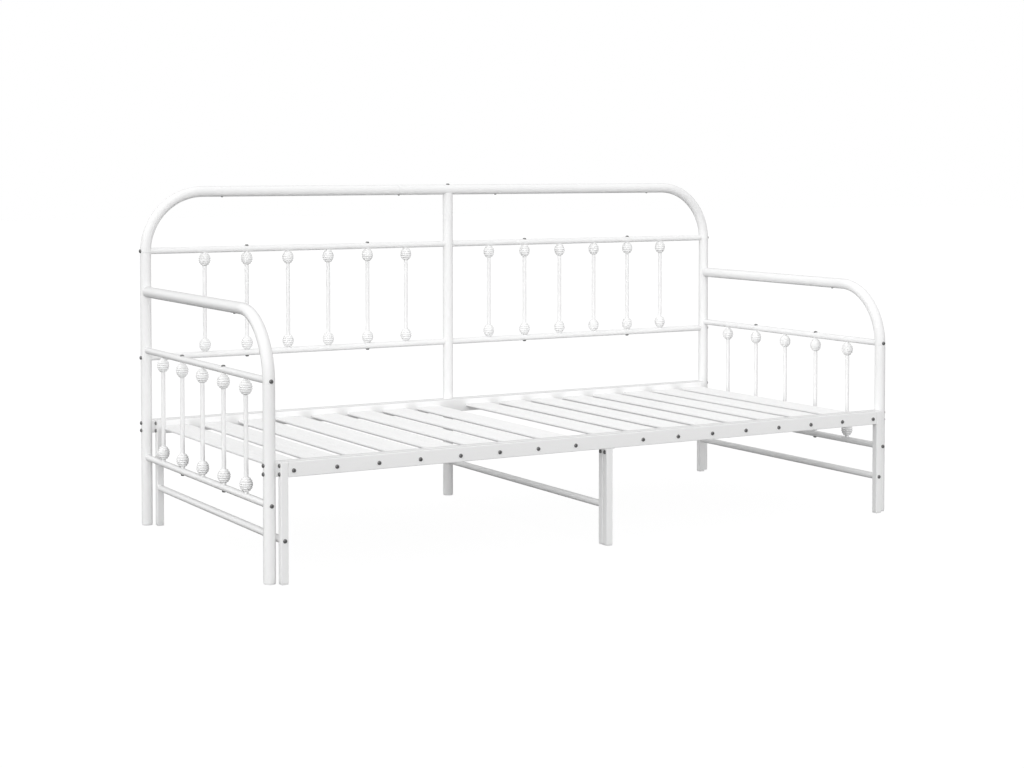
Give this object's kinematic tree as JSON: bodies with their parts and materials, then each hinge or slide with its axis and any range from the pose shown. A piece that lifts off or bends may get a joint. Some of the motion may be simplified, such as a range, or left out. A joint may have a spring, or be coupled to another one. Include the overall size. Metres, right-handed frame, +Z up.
{
  "type": "daybed",
  "caption": "White tubular metal daybed with a hooped back, rounded arms, beaded spindles and a slatted base that pulls out to double its width.",
  "frame": {"origin": "on the floor, under the middle of the overall box with the base pushed in", "axes": "+X along the bed to the right seen from the front, +Y from the open front to the hooped back, +Z up"},
  "size_m": [2.076, 0.9768, 1.0095],
  "materials": {
    "frame_coat": "white powder coat, semi-gloss",
    "slat_coat": "white coated ribbed steel, satin",
    "bolt_steel": "dark button-head bolts",
    "plug_plastic": "white plastic foot plugs"
  },
  "bodies": {
    "frame": {"back_post_left": "frame_coat", "hoop_corner_left": "frame_coat", "hoop_top_tube_left": "frame_coat", "back_upper_bar_left": "frame_coat", "back_lower_bar_left": "frame_coat", "back_spindle_left_1": "frame_coat", "back_spindle_left_2": "frame_coat", "back_spindle_left_3": "frame_coat", "back_spindle_left_4": "frame_coat", "back_spindle_left_5": "frame_coat", "back_spindle_left_6": "frame_coat", "arm_post_left": "frame_coat", "arm_corner_left": "frame_coat", "arm_top_tube_left": "frame_coat", "arm_upper_bar_left": "frame_coat", "arm_lower_bar_left": "frame_coat", "arm_spindle_left_1": "frame_coat", "arm_spindle_left_2": "frame_coat", "arm_spindle_left_3": "frame_coat", "arm_spindle_left_4": "frame_coat", "arm_spindle_left_5": "frame_coat", "rear_rail_and_slats_left": "slat_coat", "back_post_right": "frame_coat", "hoop_corner_right": "frame_coat", "hoop_top_tube_right": "frame_coat", "back_upper_bar_right": "frame_coat", "back_lower_bar_right": "frame_coat", "back_spindle_right_1": "frame_coat", "back_spindle_right_2": "frame_coat", "back_spindle_right_3": "frame_coat", "back_spindle_right_4": "frame_coat", "back_spindle_right_5": "frame_coat", "back_spindle_right_6": "frame_coat", "arm_post_right": "frame_coat", "arm_corner_right": "frame_coat", "arm_top_tube_right": "frame_coat", "arm_upper_bar_right": "frame_coat", "arm_lower_bar_right": "frame_coat", "arm_spindle_right_1": "frame_coat", "arm_spindle_right_2": "frame_coat", "arm_spindle_right_3": "frame_coat", "arm_spindle_right_4": "frame_coat", "arm_spindle_right_5": "frame_coat", "rear_rail_and_slats_right": "slat_coat", "hoop_top_tube_centre": "frame_coat", "back_centre_post": "frame_coat", "fixed_front_beam": "frame_coat", "fixed_centre_leg": "frame_coat", "centre_cross_bar": "frame_coat"},
    "pull_out_base": {"pull_out_front_leg_left": "frame_coat", "pull_out_rear_leg_left": "frame_coat", "pull_out_side_bar_left": "frame_coat", "pull_out_front_leg_right": "frame_coat", "pull_out_rear_leg_right": "frame_coat", "pull_out_side_bar_right": "frame_coat", "front_rail": "frame_coat", "pull_out_beam_and_slats": "slat_coat", "pull_out_centre_leg": "frame_coat"}
  },
  "joints": [
    {"name": "pull_out", "type": "slide", "parent": "frame", "child": "pull_out_base", "axis": [0, -1, 0], "range_m": [0, 0.87]}
  ]
}
